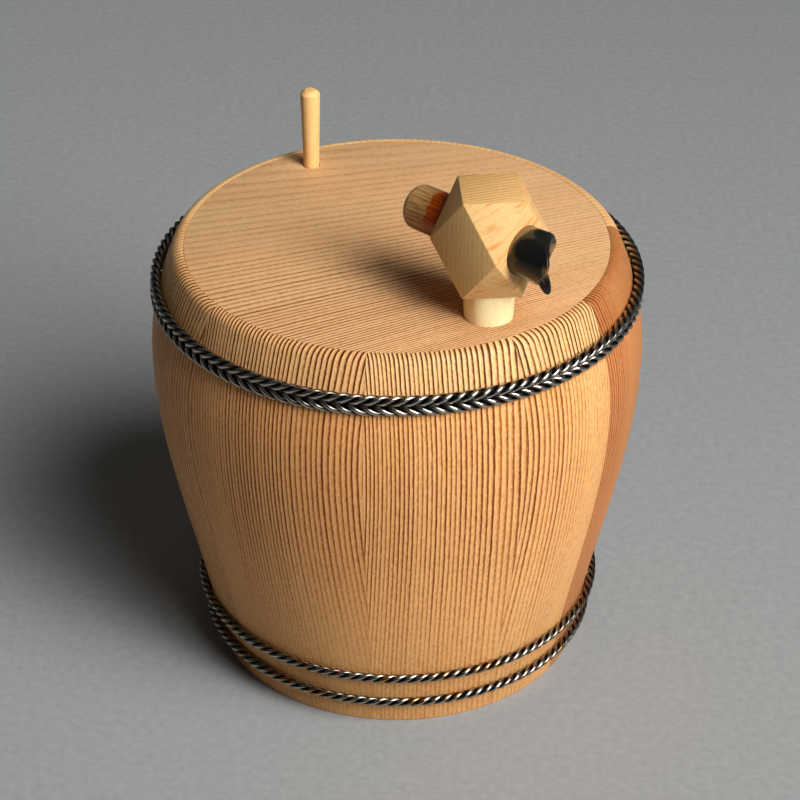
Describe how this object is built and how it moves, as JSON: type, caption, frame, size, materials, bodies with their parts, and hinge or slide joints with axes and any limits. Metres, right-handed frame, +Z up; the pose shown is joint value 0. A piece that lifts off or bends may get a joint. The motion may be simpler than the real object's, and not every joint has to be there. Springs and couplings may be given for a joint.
{
  "type": "tea caddy",
  "caption": "Coopered cedar tea caddy shaped like a small cask, with twisted wire hoops, a lift-off lid, a vent peg and a faceted tap with a horn spout.",
  "frame": {"origin": "centre of the foot, on the plane the cask stands on", "axes": "+Z up along the cask's axis, -Y to the front, +X to the right; the tap stands at the front right and the peg at the rear left"},
  "size_m": [0.0782, 0.0782, 0.0936],
  "materials": {
    "stave_cedar": "planed straight-grained cedar with dark growth lines, matt",
    "board_cedar": "planed flat-sawn cedar, matt",
    "dark_silver": "twisted silver wire, darkened, bright on its high spots",
    "pale_wood": "smooth pale close-grained wood",
    "horn": "polished horn, pale and streaked at the rear, amber, then nearly black at the spout"
  },
  "bodies": {
    "body": {"body_stave_1": "stave_cedar", "body_stave_2": "stave_cedar", "body_stave_3": "stave_cedar", "body_stave_4": "stave_cedar", "body_stave_5": "stave_cedar", "body_stave_6": "stave_cedar", "body_stave_7": "stave_cedar", "body_stave_8": "stave_cedar", "body_stave_9": "stave_cedar", "base_board": "board_cedar", "seat_collar": "board_cedar", "upper_hoop_body_rope": "dark_silver", "lower_hoop_rope_1": "dark_silver", "lower_hoop_rope_2": "dark_silver"},
    "lid": {"lid_stave_1": "stave_cedar", "lid_stave_2": "stave_cedar", "lid_stave_3": "stave_cedar", "lid_stave_4": "stave_cedar", "lid_stave_5": "stave_cedar", "lid_stave_6": "stave_cedar", "lid_stave_7": "stave_cedar", "lid_stave_8": "stave_cedar", "lid_stave_9": "stave_cedar", "lid_board": "board_cedar", "upper_hoop_lid_rope": "dark_silver"},
    "peg": {"vent_peg": "pale_wood"},
    "tap": {"tap_post": "pale_wood", "tap_block": "pale_wood", "horn_spout": "horn"}
  },
  "joints": [
    {"name": "lid_lift", "type": "slide", "parent": "body", "child": "lid", "axis": [0, 0, 1], "range_m": [0, 0.04]},
    {"name": "peg_pull", "type": "slide", "parent": "lid", "child": "peg", "axis": [0, 0, 1], "range_m": [0, 0.02]},
    {"name": "tap_turn", "type": "hinge", "parent": "lid", "child": "tap", "pos_m": [0.01384, -0.02224, 0.0721], "axis": [0, 0, 1], "continuous": true}
  ]
}
